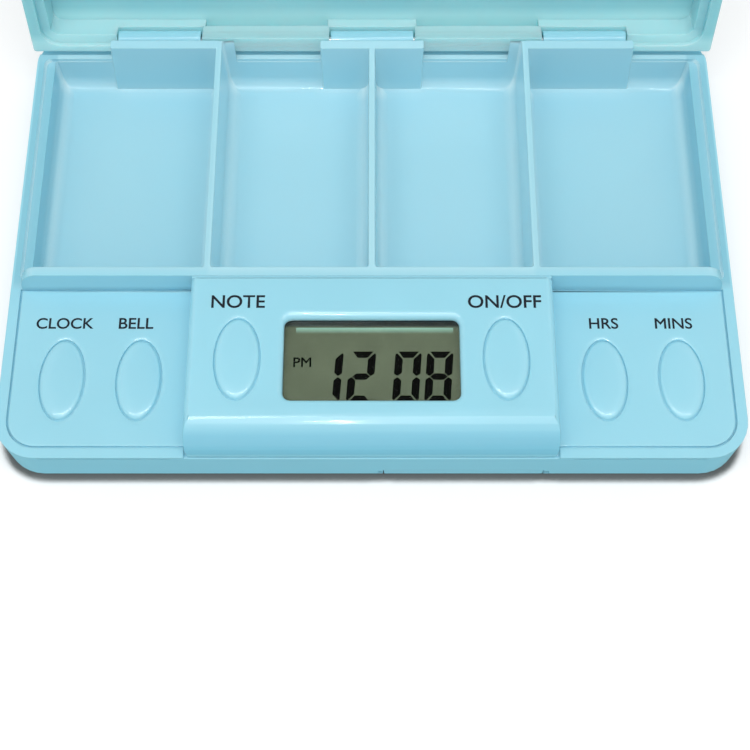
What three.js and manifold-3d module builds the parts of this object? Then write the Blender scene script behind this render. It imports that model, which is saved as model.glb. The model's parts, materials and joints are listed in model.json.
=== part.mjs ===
// Electronic pill box: a shallow case with four compartments behind a clock panel, under a hinged lid.
// Millimetres, +Z up. The origin is the middle of the case's underside, the front faces -Y,
// and the lid is drawn fully open, leaning back on its stop.
import * as THREE from 'three';
import { mergeVertices } from 'three/addons/utils/BufferGeometryUtils.js';
import Module from 'manifold-3d';

const wasm = await Module();
wasm.setup();

// Case
const caseWidth = 115;
const caseDepth = 76;
const rimHeight = 8.2;
const frontCorner = 6.3;
const backCorner = 4.5;
const undersideRound = 0.6;
const floorThickness = 1.4;
const bayWall = 1.6;
const bayDepth = 28.2;
const outlineGroove = 0.3;
const grooveStart = 30.6;
const grooveEnd = 50.7;
const grooveDrop = 0.45;

// Tray
const stepHeight = 5;
const trayFrontWall = 1.5;
const traySideWall = 2.8;
const trayBackWall = 3.8;
const rimStrip = 1.2;
const lipDrop = 0.7;
const lipRiser = 0.3;
const lipCorner = 1.2;
const dividerSpacing = 25.75;
const dividerThickness = 0.95;
const compartmentDraft = 0.2;
const compartmentCorner = 0.4;
const compartmentFillet = 2;
const stepShoulder = 3.2;

// Clearances
const seat = 0.15;
const fit = 0.3;
const cutOver = 1;

// Hinge
const hingeInset = 1.35;
const hingeRise = 1.85;
const barrelRadius = 1.6;
const pinRadius = 0.6;
const pinHoleRadius = 0.9;
const caseKnuckleWidth = 14;
const caseKnuckleSpacing = 36.2;
const guardWidth = 17.4;
const guardSpacing = 35.3;
const guardThickness = 1.6;
const guardAhead = 1.5;
const guardFlare = 1.1;
const hingeRelief = 0.3;
const lidOpenAngle = THREE.MathUtils.degToRad(107);

// Lid
const lidThickness = 1.5;
const lidHeadroom = 0.7;
const lidRim = 1.4;
const lidInnerStep = 1.5;
const lidStepRise = 0.9;
const lidTopRound = 2;
const lidBackCorner = 0.8;
const lidOverhang = 0.4;
const lidPocketDepth = 1.3;
const lidHeelRound = 0.5;
const lidNotchGap = 1.1;
const lidNotchWall = 1.3;
const catchLength = 8;
const catchHeight = 0.5;
const catchSpacing = 42;

// Control panel
const panelThickness = 1.2;
const consoleWidth = 56.4;
const consoleNose = 5.8;
const noseSetback = 0.2;
const noseLift = 0.2;
const consoleBackChamfer = 0.15;
const consoleEdge = 1.3;
const consoleCorner = 0.6;

// Buttons: setbacks are measured from the case's front edge, and shares are of the wing's width or of
// the strip between the display window and the console's side
const buttonLength = 13;
const wingButtonWidthShare = 0.243;
const wingButtonPlaceShares = [0.288, 0.722];
const consoleButtonWidthShare = 0.45;
const consoleButtonPlaceShare = 0.525;
const buttonCrown = 0.6;
const buttonGap = 0.25;
const buttonSink = 0.15;
const buttonTravel = 0.5;
const dishMargin = 0.85;
const dishDepth = 0.15;
const flangeMargin = 0.6;
const flangeThickness = 0.6;
const stemRadius = 1.5;
const wingButtonSetback = 12.75;
const consoleButtonSetback = 14.2;
const consoleStemShift = 2.4;

// Display
const windowWidthShare = 0.477;
const windowLength = 13.4;
const windowSetback = 14.3;
const windowCorner = 1.2;
const bevelSide = 1.05;
const bevelFront = 0.8;
const bevelBack = 1.5;
const bevelDepth = 0.75;
const windowPlate = 1;
const windowLap = 0.9;
const glassSide = 1.35;
const glassLength = 19.8;
const glassSetback = 15.4;
const glassThickness = 1.6;
const lcdFrameWall = 0.9;
const lcdFrameSkirt = 0.5;
const lcdFrameDrop = 0.6;
const connectorSide = 1.3;
const connectorThickness = 1.8;
const connectorInset = 0.7;

// Circuit board and what it carries
const boardRise = 1.2;
const boardThickness = 1;
const boardMargin = 0.6;
const switchSize = 4.5;
const switchHeight = 1;
const plungerRadius = 1;
const plungerHeight = 0.4;
const buzzerRadius = 6;
const buzzerHeight = 2.8;
const buzzerSetback = 12;
const soundHoleRadius = 0.9;
const chipSize = 5.6;
const chipHeight = 1.2;
const crystalRadius = 1;
const crystalLength = 6;
const crystalSetback = 21.5;

// Two button cells side by side, and their door
const cellRadius = 5.8;
const cellHeight = 5.4;
const cellRimDrop = 0.6;
const cellRimInset = 0.8;
const cellApart = 12.1;
const doorInset = 1.5;
const doorWidth = 24.8;
const doorLength = 16;
const doorLipHeight = 1.9;
const doorTongue = 0.8;
const doorLedge = 0.6;
const doorGripDepth = 0.4;
const doorGripWidth = 12;
const doorGripPitch = 1.6;
const doorGripRibs = 4;
const doorNotch = 0.6;
const guideRibThickness = 0.8;
const contactThickness = 0.3;
const contactWidth = 4;
const bridgeWidth = 4.5;

// Screws
const screwRadius = 0.8;
const screwHeadRadius = 1.5;
const screwHeadHeight = 0.9;
const screwSink = 0.3;
const screwBite = 2.4;
const screwSlotWidth = 0.4;
const screwSlotDepth = 0.35;
const bossRadius = 2.2;
const postRadius = 1.7;
const rearScrewSetback = 24.6;
const frontScrewGap = 2.2;
const frontScrewSetback = 4;

// How finely round things are divided
const cornerSteps = 8;
const edgeSteps = 4;
const ovalSteps = 32;
const domeSteps = 4;
const barrelSteps = 28;
const smallSteps = 18;

// Places worked out from the sizes above
const front = -caseDepth / 2;
const back = caseDepth / 2;
const stepTop = rimHeight + stepHeight;
const consoleHalf = consoleWidth / 2;
const panelHalf = caseWidth / 2 - bayWall - fit;
const wingWidth = panelHalf - consoleHalf;
const windowWidth = consoleWidth * windowWidthShare;
const glassWidth = windowWidth + glassSide * 2;
const besideWindow = consoleHalf - windowWidth / 2;
const doorPitch = consoleHalf - doorInset - doorWidth / 2;
const frontScrewPitch = consoleHalf + frontScrewGap;
const rearScrewPitch = (consoleHalf + panelHalf) / 2;
const trayFront = front + bayDepth + trayFrontWall;
const trayBack = back - trayBackWall;
const hingeY = back - hingeInset;
const hingeZ = rimHeight + hingeRise;
const guardFront = trayBack - guardAhead;
const lidBottom = rimHeight + fit;
const lidInside = stepTop + lidHeadroom;
const lidTop = lidInside + lidThickness;
const boardBottom = floorThickness + boardRise;
const boardTop = boardBottom + boardThickness;
const wingUnder = rimHeight - panelThickness;
const consoleUnder = stepTop - panelThickness;
const plungerTop = boardTop + switchHeight + plungerHeight;
const cellY = front + bayWall + fit + cellRadius;
const cellBottom = floorThickness + contactThickness + seat + seat;
const cellTop = cellBottom + cellHeight;
const boardCutBack = cellY + cellRadius + fit;
const boardCutHalf = cellApart / 2 + cellRadius + fit;
const consoleButtonPitch = consoleHalf - besideWindow * consoleButtonPlaceShare;
const buzzerX = (doorPitch - boardCutHalf - consoleButtonPitch + switchSize / 2) / 2;
const chipX = -consoleHalf;
const doorBack = front + doorLength;
const stemBottom = plungerTop + buttonTravel + seat;
const panelBack = front + bayDepth - fit;

// Plastics, metals and glass
function plastic(color, roughness = 0.35) {
  return new THREE.MeshStandardMaterial({ color, roughness, metalness: 0 });
}
function metal(color, roughness = 0.3) {
  return new THREE.MeshStandardMaterial({ color, roughness, metalness: 1 });
}
function clear(color, opacity) {
  return new THREE.MeshStandardMaterial({ color, roughness: 0.1, transparent: true, opacity });
}
const caseBlue = 0xa3dcec;
const lidBlue = 0x8bcbd4;

// Turning meshes into solids and back
function toSolid(geometry) {
  const bare = geometry.clone();
  bare.deleteAttribute('normal');
  bare.deleteAttribute('uv');
  const merged = mergeVertices(bare);
  return new wasm.Manifold(new wasm.Mesh({
    numProp: 3,
    vertProperties: new Float32Array(merged.attributes.position.array),
    triVerts: new Uint32Array(merged.index.array),
  }));
}

function toGeometry(solid) {
  const mesh = solid.getMesh();
  const geometry = new THREE.BufferGeometry();
  geometry.setAttribute('position', new THREE.BufferAttribute(new Float32Array(mesh.vertProperties), 3));
  geometry.setIndex(new THREE.BufferAttribute(new Uint32Array(mesh.triVerts), 1));
  geometry.computeVertexNormals();
  return geometry;
}

function join(first, ...others) {
  return others.reduce((sum, solid) => sum.add(solid), first);
}

function cut(first, ...others) {
  return others.reduce((rest, solid) => rest.subtract(solid), first);
}

// Points of a quarter turn of an ellipse, from its start angle to a right angle further on
function quarter(centreX, centreY, radiusX, radiusY, startAngle, steps) {
  const points = [];
  for (let step = 0; step <= steps; step += 1) {
    const angle = startAngle + (step / steps) * (Math.PI / 2);
    points.push(new THREE.Vector2(centreX + radiusX * Math.cos(angle), centreY + radiusY * Math.sin(angle)));
  }
  return points;
}

// A rectangle with its own radius at the front and the back corners
function roundedRectangle(left, right, near, far, nearRadius, farRadius, steps = cornerSteps) {
  return [
    ...quarter(right - farRadius, far - farRadius, farRadius, farRadius, 0, steps),
    ...quarter(left + farRadius, far - farRadius, farRadius, farRadius, Math.PI / 2, steps),
    ...quarter(left + nearRadius, near + nearRadius, nearRadius, nearRadius, Math.PI, steps),
    ...quarter(right - nearRadius, near + nearRadius, nearRadius, nearRadius, Math.PI * 1.5, steps),
  ];
}

function caseOutline(inset) {
  return roundedRectangle(
    -caseWidth / 2 + inset, caseWidth / 2 - inset, front + inset, back - inset,
    frontCorner - inset, backCorner - inset,
  );
}

// The lid's outside stands a little over the case's sides and front, with nearly square back corners
function lidOutline(inset) {
  const grow = lidOverhang - inset;
  return roundedRectangle(
    -caseWidth / 2 - grow, caseWidth / 2 + grow, front - grow, back - inset,
    frontCorner + grow, lidBackCorner,
  );
}

function oval(centreX, centreY, width, length, steps = ovalSteps) {
  const points = [];
  for (let step = 0; step < steps; step += 1) {
    const angle = (step / steps) * Math.PI * 2;
    points.push(new THREE.Vector2(
      centreX + (width / 2) * Math.cos(angle), centreY + (length / 2) * Math.sin(angle),
    ));
  }
  return points;
}

// A closed solid through rings of equal count, listed from the lowest up
function loft(rings) {
  const count = rings[0].points.length;
  const positions = [];
  for (const ring of rings) {
    for (const point of ring.points) positions.push(point.x, point.y, ring.z);
  }
  const index = [];
  for (let level = 0; level + 1 < rings.length; level += 1) {
    for (let side = 0; side < count; side += 1) {
      const next = (side + 1) % count;
      const low = level * count;
      const high = low + count;
      index.push(low + side, low + next, high + next, low + side, high + next, high + side);
    }
  }
  const last = (rings.length - 1) * count;
  for (const [a, b, c] of THREE.ShapeUtils.triangulateShape(rings[0].points, [])) index.push(c, b, a);
  for (const [a, b, c] of THREE.ShapeUtils.triangulateShape(rings[rings.length - 1].points, [])) {
    index.push(last + a, last + b, last + c);
  }
  const geometry = new THREE.BufferGeometry();
  geometry.setAttribute('position', new THREE.Float32BufferAttribute(positions, 3));
  geometry.setIndex(index);
  return toSolid(geometry);
}

function prism(points, bottom, top) {
  return loft([{ points, z: bottom }, { points, z: top }]);
}

function box(left, right, near, far, bottom, top) {
  const corners = [
    new THREE.Vector2(left, near), new THREE.Vector2(right, near),
    new THREE.Vector2(right, far), new THREE.Vector2(left, far),
  ];
  return prism(corners, bottom, top);
}

function disc(centreX, centreY, radius, bottom, top, steps = smallSteps) {
  return prism(oval(centreX, centreY, radius * 2, radius * 2, steps), bottom, top);
}

// An outline drawn in Y and Z, carried along X
function alongX(points, left, right) {
  const size = { depth: right - left, bevelEnabled: false };
  const geometry = new THREE.ExtrudeGeometry(new THREE.Shape(points), size);
  const turn = new THREE.Matrix4().makeBasis(
    new THREE.Vector3(0, 1, 0), new THREE.Vector3(0, 0, 1), new THREE.Vector3(1, 0, 0),
  );
  return toSolid(geometry.applyMatrix4(turn).translate(left, 0, 0));
}

// An outline drawn in X and Z, carried along Y
function alongY(points, near, far) {
  const size = { depth: far - near, bevelEnabled: false };
  const geometry = new THREE.ExtrudeGeometry(new THREE.Shape(points), size);
  const turn = new THREE.Matrix4().makeBasis(
    new THREE.Vector3(1, 0, 0), new THREE.Vector3(0, 0, 1), new THREE.Vector3(0, -1, 0),
  );
  return toSolid(geometry.applyMatrix4(turn).translate(0, far, 0));
}

function rodAlongX(centreY, centreZ, radius, left, right, steps = barrelSteps) {
  return alongX(oval(centreY, centreZ, radius * 2, radius * 2, steps), left, right);
}

// The case's outer form with its rounded underside, from the floor up to a height
function outerForm(top) {
  const rings = [];
  for (let step = 0; step <= edgeSteps; step += 1) {
    const angle = (step / edgeSteps) * (Math.PI / 2);
    rings.push({
      points: caseOutline(undersideRound * (1 - Math.sin(angle))),
      z: undersideRound * (1 - Math.cos(angle)),
    });
  }
  rings.push({ points: caseOutline(0), z: top });
  return loft(rings);
}

// Where the four compartments stand, from left to right
function compartments() {
  const half = dividerThickness / 2;
  const side = caseWidth / 2 - traySideWall;
  const lines = [-dividerSpacing, 0, dividerSpacing];
  return [
    { left: -side, right: lines[0] - half },
    { left: lines[0] + half, right: lines[1] - half },
    { left: lines[1] + half, right: lines[2] - half },
    { left: lines[2] + half, right: side },
  ];
}

// A compartment is a pocket with drafted walls and a rounded foot
function compartmentPocket({ left, right }) {
  const ringAt = (inset, z) => ({
    points: roundedRectangle(
      left + inset, right - inset, trayFront + inset, trayBack - inset,
      compartmentCorner, compartmentCorner, edgeSteps,
    ),
    z,
  });
  const rings = [];
  for (let step = 0; step <= edgeSteps; step += 1) {
    const angle = (step / edgeSteps) * (Math.PI / 2);
    rings.push(ringAt(
      compartmentDraft + compartmentFillet * (1 - Math.sin(angle)),
      floorThickness + compartmentFillet * (1 - Math.cos(angle)),
    ));
  }
  rings.push(ringAt(0, stepTop), ringAt(0, stepTop + cutOver));
  return loft(rings);
}

function knucklePlaces(spacing, width) {
  return [-spacing, 0, spacing].map((middle) => ({ left: middle - width / 2, right: middle + width / 2 }));
}

function screwPlaces() {
  return [
    { x: -frontScrewPitch, y: front + frontScrewSetback },
    { x: frontScrewPitch, y: front + frontScrewSetback },
    { x: -rearScrewPitch, y: front + rearScrewSetback },
    { x: rearScrewPitch, y: front + rearScrewSetback },
  ];
}

// The battery door's form, grown by a gap for its opening: a plate, a front lip, and a tongue on each
// side that slides over a ledge
function doorForm(gap, tongueFront) {
  const left = doorPitch - doorWidth / 2 - gap;
  const right = doorPitch + doorWidth / 2 + gap;
  const far = doorBack + gap;
  const tongueBottom = doorLedge + seat - gap;
  return join(
    box(left, right, front - cutOver, far, -cutOver, floorThickness),
    box(left, right, front - cutOver, front + bayWall, -cutOver, doorLipHeight + gap),
    box(left - doorTongue, right + doorTongue, tongueFront, far, tongueBottom, floorThickness + gap),
  );
}

// Case: shell, tray with dividers, hinge guards and knuckles, battery opening, bosses
function baseCase() {
  const bay = common(
    prism(caseOutline(bayWall), floorThickness, rimHeight + cutOver),
    box(-caseWidth, caseWidth, front, front + bayDepth, 0, stepTop),
  );
  let body = cut(outerForm(rimHeight), bay);

  // The rim steps down to a lower lip along both sides of the tray
  const lip = (inset, z) => ({
    points: roundedRectangle(
      -caseWidth / 2 + inset, caseWidth / 2 - inset, trayFront, trayBack, lipCorner, lipCorner, edgeSteps,
    ),
    z,
  });
  body = cut(body, loft([
    lip(rimStrip + lipRiser, rimHeight - lipDrop),
    lip(rimStrip, rimHeight),
    lip(rimStrip, rimHeight + cutOver),
  ]));

  // The tray's front wall stands up as a step with rounded shoulders
  const stepEdge = caseWidth / 2 - bayWall - fit;
  const stepOutline = [
    new THREE.Vector2(-stepEdge, floorThickness), new THREE.Vector2(stepEdge, floorThickness),
    ...quarter(stepEdge - stepShoulder, rimHeight, stepShoulder, stepHeight, 0, cornerSteps),
    ...quarter(-stepEdge + stepShoulder, rimHeight, stepShoulder, stepHeight, Math.PI / 2, cornerSteps),
  ];
  const trayHalf = caseWidth / 2 - traySideWall;
  body = join(body,
    alongY(stepOutline, front + bayDepth, trayFront),
    common(
      alongY(stepOutline, front + bayDepth, trayFront + compartmentDraft),
      box(-trayHalf, trayHalf, front, back, floorThickness, stepTop),
    ));
  for (const middle of [-dividerSpacing, 0, dividerSpacing]) {
    const half = dividerThickness / 2 + compartmentFillet;
    body = join(body, box(middle - half, middle + half, trayFront, trayBack, floorThickness, stepTop));
  }
  body = cut(body, ...compartments().map(compartmentPocket));

  // Guards in front of the hinge knuckles; the outer ones reach the nearest divider on one side, and are
  // wider at their feet on the other
  for (const place of knucklePlaces(guardSpacing, guardWidth)) {
    const onLeft = place.right < 0;
    const onRight = place.left > 0;
    const guard = (share, z) => ({
      points: roundedRectangle(
        onRight ? dividerSpacing : place.left - (onLeft ? guardFlare * share : 0),
        onLeft ? -dividerSpacing : place.right + (onRight ? guardFlare * share : 0),
        guardFront, guardFront + guardThickness, compartmentDraft, compartmentDraft, 1,
      ),
      z,
    });
    body = join(body, loft([guard(1, floorThickness - seat), guard(0, stepTop)]));
  }

  // The rim behind the compartments is lower where the lid's heel swings over it
  const reliefFront = trayBack + rimStrip - hingeRelief;
  body = cut(body, box(
    -caseWidth, caseWidth, reliefFront, back + cutOver, rimHeight - hingeRelief, rimHeight + cutOver,
  ));
  for (const place of knucklePlaces(caseKnuckleSpacing, caseKnuckleWidth)) {
    const webFront = guardFront + guardThickness - seat;
    const web = box(place.left, place.right, webFront, back, rimHeight - stepHeight, hingeZ);
    body = join(body, web, rodAlongX(hingeY, hingeZ, barrelRadius, place.left, place.right));
  }
  const pinHoleHalf = caseKnuckleSpacing + caseKnuckleWidth;
  body = cut(body, rodAlongX(hingeY, hingeZ, pinHoleRadius, -pinHoleHalf, pinHoleHalf, smallSteps));

  // The panel's nose lies over the middle of the front rim
  const noseHalf = consoleWidth / 2 + fit;
  body = cut(body, box(
    -noseHalf, noseHalf, front - cutOver, front + bayWall + seat,
    rimHeight - noseLift - fit, rimHeight + cutOver,
  ));

  // A fine groove under the front rim, where the lid's catches spring over
  for (const side of [-1, 1]) {
    const middle = (side * (grooveStart + grooveEnd)) / 2;
    const half = (grooveEnd - grooveStart) / 2;
    body = cut(body, box(
      middle - half, middle + half, front - cutOver, front + outlineGroove,
      rimHeight - grooveDrop - outlineGroove, rimHeight - grooveDrop,
    ));
  }

  body = cut(body, doorForm(seat, front - cutOver));
  for (const side of [-1, 1]) {
    const middle = doorPitch + side * (doorWidth / 2 + doorTongue + fit + guideRibThickness / 2);
    body = join(body, box(
      middle - guideRibThickness / 2, middle + guideRibThickness / 2,
      front + bayWall - seat, doorBack, floorThickness - seat, boardBottom - seat,
    ));
  }
  for (const place of screwPlaces()) {
    body = join(body, disc(place.x, place.y, bossRadius, floorThickness - seat, boardBottom - seat));
    body = cut(body,
      disc(place.x, place.y, screwRadius + fit, -cutOver, boardBottom),
      disc(place.x, place.y, screwHeadRadius + fit, -cutOver, screwSink + screwHeadHeight));
  }
  return cut(body, disc(buzzerX, front + buzzerSetback, soundHoleRadius, -cutOver, floorThickness + cutOver));
}

function common(first, second) {
  return first.intersect(second);
}

// Raised console: its side view carried across, its front view carried back, and its plan, in one
function consoleForm(inset, bottom) {
  const near = front + noseSetback + inset;
  const far = panelBack - inset;
  const top = stepTop - inset;
  const noseBottom = rimHeight - noseLift;
  const side = [
    new THREE.Vector2(near, bottom),
    new THREE.Vector2(far, bottom),
    new THREE.Vector2(far, top - consoleBackChamfer),
    new THREE.Vector2(far - consoleBackChamfer, top),
    ...quarter(near + consoleNose, noseBottom, consoleNose, top - noseBottom, Math.PI / 2, cornerSteps),
  ];
  const half = consoleWidth / 2 - inset;
  const face = [
    new THREE.Vector2(-half, bottom), new THREE.Vector2(half, bottom),
    ...quarter(half - consoleEdge, top - consoleEdge, consoleEdge, consoleEdge, 0, edgeSteps),
    ...quarter(-half + consoleEdge, top - consoleEdge, consoleEdge, consoleEdge, Math.PI / 2, edgeSteps),
  ];
  const plan = roundedRectangle(-half, half, near, far, consoleCorner, seat, edgeSteps);
  return common(
    common(alongX(side, -half, half), alongY(face, near - cutOver, far + cutOver)),
    prism(plan, bottom - cutOver, top + cutOver),
  );
}

function buttonPlaces() {
  const y = front + wingButtonSetback;
  const [inner, outer] = wingButtonPlaceShares.map((share) => consoleHalf + wingWidth * share);
  const wing = { y, stemY: y, width: wingWidth * wingButtonWidthShare, face: rimHeight };
  const consoleY = front + consoleButtonSetback;
  const console = {
    y: consoleY, stemY: consoleY + consoleStemShift,
    width: besideWindow * consoleButtonWidthShare, face: stepTop,
  };
  return [
    { name: 'clock', x: -outer, ...wing },
    { name: 'alarm', x: -inner, ...wing },
    { name: 'memo', x: -consoleButtonPitch, ...console },
    { name: 'on_off', x: consoleButtonPitch, ...console },
    { name: 'hours', x: inner, ...wing },
    { name: 'minutes', x: outer, ...wing },
  ];
}

function windowOutline(grow, near, far, radius) {
  return roundedRectangle(
    -windowWidth / 2 - grow, windowWidth / 2 + grow,
    front + windowSetback - windowLength / 2 - near, front + windowSetback + windowLength / 2 + far,
    radius, radius, edgeSteps,
  );
}

// Control panel: two low wings, the console between them, and posts for the screws
function controlPanel() {
  const wings = common(
    prism(caseOutline(bayWall + fit), wingUnder, rimHeight),
    box(-caseWidth, caseWidth, front, panelBack, 0, stepTop),
  );
  const noseBottom = rimHeight - noseLift;
  const console = join(
    consoleForm(0, noseBottom),
    common(consoleForm(0, wingUnder), prism(caseOutline(bayWall + fit), 0, stepTop)),
  );
  let body = cut(join(wings, console), consoleForm(panelThickness, wingUnder - cutOver));
  for (const place of screwPlaces()) {
    body = join(body, disc(place.x, place.y, postRadius, boardTop + seat, wingUnder + seat));
    body = cut(body, disc(place.x, place.y, screwRadius + seat, 0, boardTop + seat + screwBite));
  }

  // Each button has a hole with a shallow dish round it
  for (const { x, y, width, face } of buttonPlaces()) {
    const around = (grow, z) => ({ points: oval(x, y, width + grow * 2, buttonLength + grow * 2), z });
    const dishEdge = buttonGap + dishMargin;
    body = cut(body,
      loft([around(buttonGap, face - panelThickness - cutOver), around(buttonGap, face + cutOver)]),
      loft([
        around(buttonGap, face - dishDepth),
        around(dishEdge, face),
        around(dishEdge, face + cutOver),
      ]));
  }

  // The display window's edge rolls down to the sight opening
  const roll = (share, z) => ({
    points: windowOutline(
      bevelSide * share, bevelFront * share, bevelBack * share, windowCorner + bevelSide * share,
    ),
    z,
  });
  const bevelRings = [];
  for (let step = edgeSteps; step >= 0; step -= 1) {
    const angle = (step / edgeSteps) * (Math.PI / 2);
    bevelRings.push(roll(1 - Math.sin(angle), stepTop - bevelDepth * (1 - Math.cos(angle))));
  }
  const bevel = loft([...bevelRings, roll(1, stepTop + cutOver)]);
  const sight = prism(windowOutline(0, 0, 0, windowCorner), consoleUnder - cutOver, stepTop);
  return cut(body, bevel, sight);
}

// Button: a shallow crowned oval, a flange that keeps it in the panel, and a stem over its switch
function button({ x, y, stemY, width, face }) {
  const flangeTop = face - panelThickness - seat;
  const flangeOutline = oval(x, y, width + flangeMargin * 2, buttonLength + flangeMargin * 2);
  const flange = prism(flangeOutline, flangeTop - flangeThickness, flangeTop);
  const skirt = oval(x, y, width, buttonLength);
  const cap = [
    { points: skirt, z: flangeTop - flangeThickness / 2 },
    { points: skirt, z: face - buttonSink },
  ];
  for (let step = 1; step <= domeSteps; step += 1) {
    const angle = (step / (domeSteps + 1)) * (Math.PI / 2);
    const shrink = Math.cos(angle);
    cap.push({
      points: oval(x, y, width * shrink, buttonLength * shrink),
      z: face - buttonSink + buttonCrown * Math.sin(angle),
    });
  }
  const stem = disc(x, stemY, stemRadius, stemBottom, flangeTop - flangeThickness / 2);
  return join(flange, loft(cap), stem);
}

function tactSwitch({ x, stemY }) {
  const half = switchSize / 2;
  return join(
    box(x - half, x + half, stemY - half, stemY + half, boardTop, boardTop + switchHeight),
    disc(x, stemY, plungerRadius, boardTop + switchHeight / 2, plungerTop),
  );
}

// Display: clear window, glass, its frame and the rubber strip that feeds it
function displayWindow() {
  const top = consoleUnder - seat;
  const outline = windowOutline(windowLap, windowLap, windowLap, windowCorner + windowLap);
  return prism(outline, top - windowPlate, top);
}

function glassTop() {
  return consoleUnder - seat - windowPlate - seat;
}

function glassEdges() {
  const middle = front + glassSetback;
  return [-glassWidth / 2, glassWidth / 2, middle - glassLength / 2, middle + glassLength / 2];
}

function lcdGlass() {
  return box(...glassEdges(), glassTop() - glassThickness, glassTop());
}

function lcdFrame() {
  const [left, right, near, far] = glassEdges();
  const bottom = glassTop() - glassThickness - lcdFrameSkirt;
  const top = consoleUnder - seat - lcdFrameDrop;
  const wall = lcdFrameWall + seat;
  return cut(
    box(left - wall, right + wall, near - wall, far + wall, bottom, top),
    box(left - seat, right + seat, near - seat, far + seat, bottom - cutOver, top + cutOver),
  );
}

function elastomerConnector() {
  const [left, right, , far] = glassEdges();
  const middle = far - connectorInset - connectorThickness / 2;
  const half = connectorThickness / 2;
  return box(
    left + connectorSide, right - connectorSide, middle - half, middle + half,
    boardTop + seat, glassTop() - glassThickness - seat,
  );
}

// Circuit board, cut away for the cells and drilled for the screws
function circuitBoard() {
  const outline = caseOutline(bayWall + boardMargin);
  let board = common(
    prism(outline, boardBottom, boardTop),
    box(-caseWidth, caseWidth, front, front + bayDepth - boardMargin, 0, stepTop),
  );
  const cells = box(doorPitch - boardCutHalf, doorPitch + boardCutHalf, front, boardCutBack, 0, stepTop);
  board = cut(board, cells);
  for (const place of screwPlaces()) {
    board = cut(board, disc(place.x, place.y, screwRadius + fit, 0, stepTop));
  }
  return board;
}

function clockChip() {
  const half = chipSize / 2;
  const y = front + wingButtonSetback;
  return box(chipX - half, chipX + half, y - half, y + half, boardTop, boardTop + chipHeight);
}

function timingCrystal() {
  return rodAlongX(
    front + crystalSetback, boardTop + crystalRadius + seat, crystalRadius,
    chipX - crystalLength / 2, chipX + crystalLength / 2, smallSteps,
  );
}

function buzzer() {
  const y = front + buzzerSetback;
  return cut(
    disc(buzzerX, y, buzzerRadius, boardTop, boardTop + buzzerHeight, ovalSteps),
    disc(buzzerX, y, soundHoleRadius, boardTop + buzzerHeight / 2, boardTop + buzzerHeight + cutOver),
  );
}

// Button cell: a can with a smaller cap below its stepped edge
function buttonCell(side) {
  const middle = doorPitch + (side * cellApart) / 2;
  const ring = (radius, z) => ({ points: oval(middle, cellY, radius * 2, radius * 2), z });
  const cap = cellRadius - cellRimInset;
  return loft([
    ring(cap, cellBottom), ring(cap, cellBottom + cellRimDrop),
    ring(cellRadius, cellBottom + cellRimDrop + seat), ring(cellRadius, cellTop),
  ]);
}

// Bridge: a plate on the inside of the door that joins the two cells
function cellBridge() {
  const half = cellApart / 2 + cellRadius / 2;
  return box(
    doorPitch - half, doorPitch + half, cellY - bridgeWidth / 2, cellY + bridgeWidth / 2,
    floorThickness, floorThickness + contactThickness,
  );
}

// Terminal: a leaf over a cell, with a leg down to the board beside it
function cellTerminal(side) {
  const middle = doorPitch + (side * cellApart) / 2;
  const legInside = doorPitch + side * boardCutHalf;
  const legOutside = legInside + side * contactThickness;
  const leafBottom = cellTop + seat;
  const leafTop = leafBottom + contactThickness;
  const near = cellY - contactWidth / 2;
  const far = cellY + contactWidth / 2;
  const strip = (one, other, bottom) => (
    box(Math.min(one, other), Math.max(one, other), near, far, bottom, leafTop)
  );
  return join(strip(middle, legOutside, leafBottom), strip(legInside, legOutside, boardTop));
}

// Battery door: the piece of the case's outer form that fills its opening, with finger ribs below
function batteryDoor() {
  let door = common(outerForm(rimHeight), doorForm(0, front + bayWall));
  for (let rib = 0; rib < doorGripRibs; rib += 1) {
    const y = front + bayWall + doorNotch + doorGripPitch * (rib + 1);
    door = cut(door, box(
      doorPitch - doorGripWidth / 2, doorPitch + doorGripWidth / 2,
      y, y + doorGripPitch / 2, -cutOver, doorGripDepth,
    ));
  }
  return door;
}

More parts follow.
